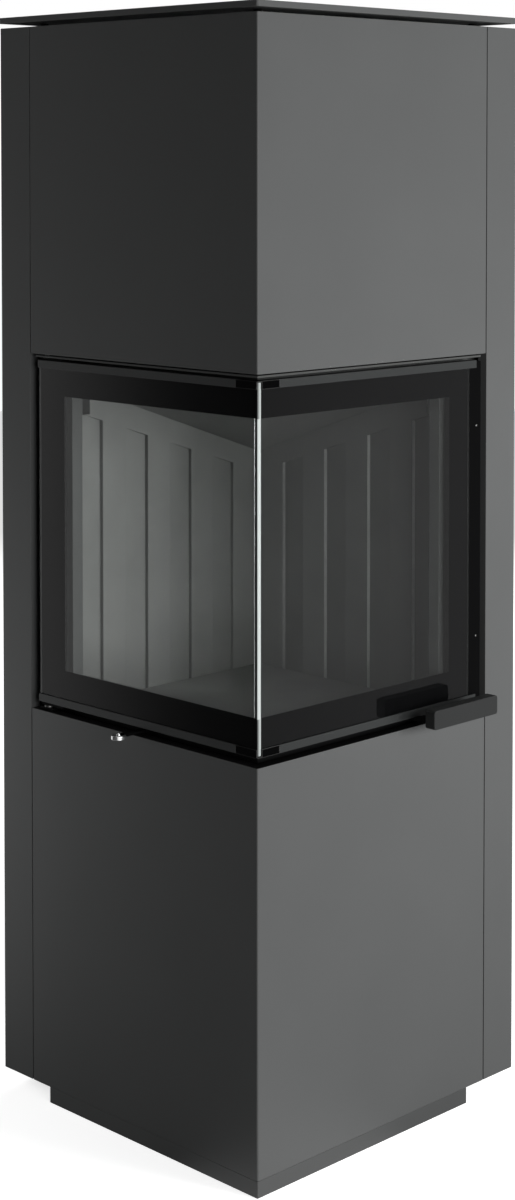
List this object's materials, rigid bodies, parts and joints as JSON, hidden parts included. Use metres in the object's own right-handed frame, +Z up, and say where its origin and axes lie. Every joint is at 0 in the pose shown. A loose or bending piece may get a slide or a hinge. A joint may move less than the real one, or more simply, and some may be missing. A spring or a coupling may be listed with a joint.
{
  "type": "corner fireplace",
  "caption": "Tall square free-standing corner fireplace: folded steel casing, a door glazed round the corner with a bar handle, a sliding air control, and a flue outlet through the top plate.",
  "frame": {"origin": "centre of the casing's square footprint, on the floor", "axes": "+Z up; -Y out of the glazed front (left in the picture), +X out of the glazed flank (right in the picture)"},
  "size_m": [0.5575, 0.5442, 1.5],
  "materials": {
    "casing_paint": "satin graphite heat-resistant paint on folded sheet",
    "frame_paint": "matt black heat-resistant paint",
    "strip_paint": "satin dark grey paint",
    "handle_paint": "satin dark grey paint",
    "inner_steel": "dark painted sheet and plate",
    "firebrick": "pressed grey insulating firebrick",
    "ceramic_glass": "clear heat-resistant glass with a black printed border",
    "polished_chrome": "polished",
    "bright_steel": "plain turned or cut steel",
    "seal_rope": "dark knitted glass-fibre rope"
  },
  "bodies": {
    "stove": {"air_box": "inner_steel", "air_spigot": "inner_steel", "baffle_slab": "firebrick", "base_plate": "inner_steel", "casing_lid": "inner_steel", "catch_bracket": "frame_paint", "deflector_plate": "inner_steel", "firebox_front": "frame_paint", "firebox_shell": "inner_steel", "flue_collar": "inner_steel", "hearth_slab": "firebrick", "heat_shield_left": "inner_steel", "heat_shield_right": "inner_steel", "hinge_bearing": "frame_paint", "hinge_pin_lower": "bright_steel", "hinge_pin_upper": "bright_steel", "lid_post_1": "inner_steel", "lid_post_2": "inner_steel", "lid_post_3": "inner_steel", "lid_post_4": "inner_steel", "lining_left": "firebrick", "lining_right": "firebrick", "lower_front_casing": "casing_paint", "plinth": "casing_paint", "side_casing_left": "casing_paint", "side_casing_right": "casing_paint", "support_leg_1": "inner_steel", "support_leg_2": "inner_steel", "support_leg_3": "inner_steel", "support_leg_4": "inner_steel", "top_pad_1": "frame_paint", "top_pad_2": "frame_paint", "top_pad_3": "frame_paint", "top_pad_4": "frame_paint", "top_plate": "casing_paint", "upper_front_casing": "casing_paint"},
    "door": {"door_top_rail": "frame_paint", "door_bottom_rail": "frame_paint", "door_hinge_stile": "frame_paint", "door_latch_stile": "frame_paint", "latch_cover": "frame_paint", "glass_front": "ceramic_glass", "glass_flank": "ceramic_glass", "glass_strip_front_top": "strip_paint", "glass_strip_front_bottom": "strip_paint", "glass_strip_flank_top": "strip_paint", "glass_strip_flank_bottom": "strip_paint", "corner_clamp_top": "frame_paint", "corner_clamp_bottom": "frame_paint", "door_rope_seal": "seal_rope", "handle_bar": "handle_paint", "handle_bracket_1": "frame_paint", "handle_bracket_2": "frame_paint", "hinge_leaf_lower": "frame_paint", "hinge_leaf_upper": "frame_paint", "catch_striker": "bright_steel"},
    "air_control": {"air_slider": "frame_paint", "air_knob": "polished_chrome"},
    "catch_roller": {"catch_roller": "bright_steel"}
  },
  "joints": [
    {"name": "door_hinge", "type": "hinge", "parent": "stove", "child": "door", "pos_m": [-0.163, -0.244, 0.79], "axis": [0, 0, -1], "range_deg": [0, 105]},
    {"name": "air_slide", "type": "slide", "parent": "stove", "child": "air_control", "axis": [1, 0, 0], "range_m": [-0.025, 0.025]},
    {"name": "catch_roller_spin", "type": "hinge", "parent": "stove", "child": "catch_roller", "pos_m": [0.235, 0.1576, 0.797], "axis": [0, 0, 1], "continuous": true}
  ]
}
